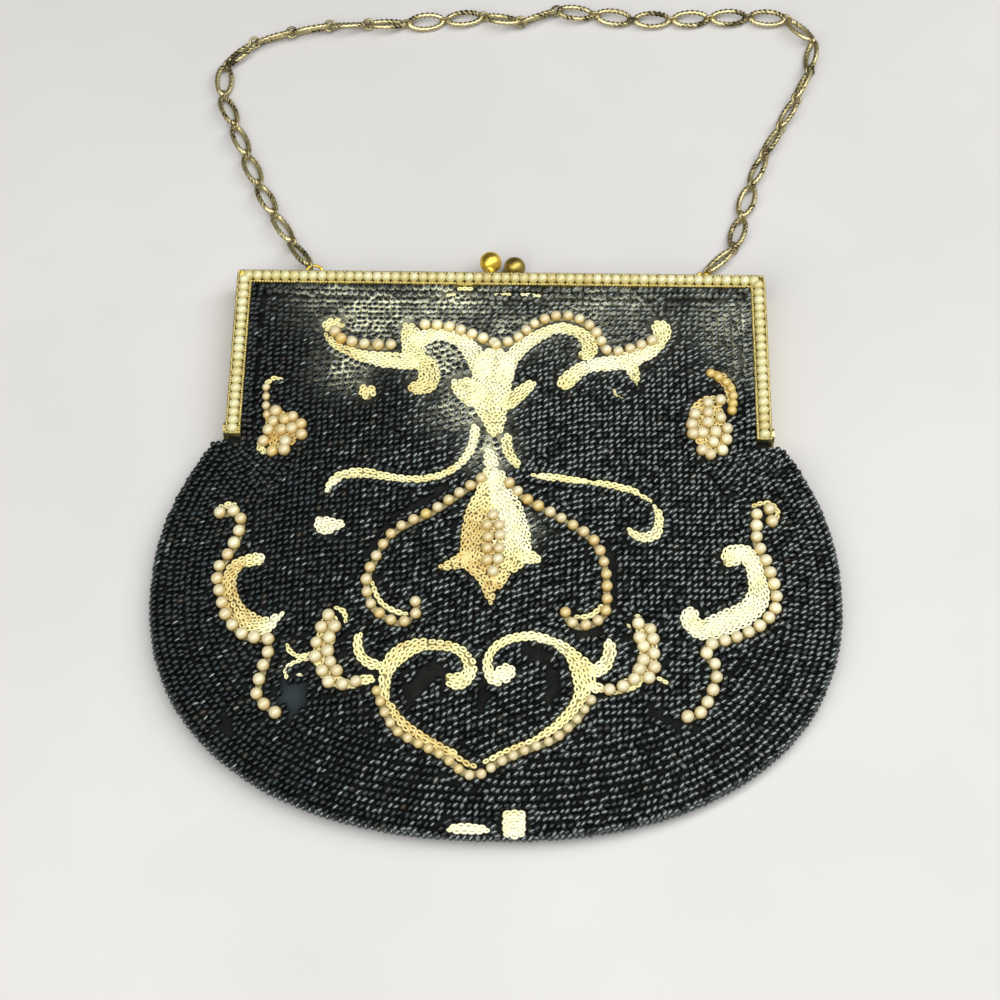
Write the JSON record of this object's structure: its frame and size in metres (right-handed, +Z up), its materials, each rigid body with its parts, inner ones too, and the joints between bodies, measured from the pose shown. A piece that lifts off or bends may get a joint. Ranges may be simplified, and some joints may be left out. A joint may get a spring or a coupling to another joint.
{
  "type": "beaded frame purse",
  "caption": "Evening purse lying on its back: domed pouch of black beaded cloth on a gilt frame with pearl trim, a ball snap clasp and an oval-link chain handle.",
  "frame": {"origin": "middle of the whole object's underside, on the surface that it lies on", "axes": "+Z up from that surface, out of the purse's front; +Y from the pouch's bottom towards the frame and the chain; +X to the right as the front is seen"},
  "size_m": [0.1942, 0.2874, 0.0187],
  "materials": {
    "beaded_cloth": "black woven cloth under glossy black glass seed beads",
    "seed_bead": "glossy black glass",
    "embroidery_thread": "cream and gold silk chain stitch",
    "motif_pearl": "peach-cream imitation pearl",
    "trim_pearl": "cream imitation pearl",
    "gilt_frame": "worn gilt",
    "bright_gilt": "polished gilt",
    "chain_brass": "darkened brass"
  },
  "bodies": {
    "root": {"front_panel": "beaded_cloth", "back_panel": "beaded_cloth", "frame_front": "gilt_frame", "frame_back": "gilt_frame", "frame_pearls": "trim_pearl", "clasp_ball_front": "bright_gilt", "clasp_ball_back": "bright_gilt", "hinge_left": "gilt_frame", "hinge_right": "gilt_frame", "chain_end_left": "bright_gilt", "chain_end_right": "bright_gilt", "chain": "chain_brass"}
  },
  "joints": []
}
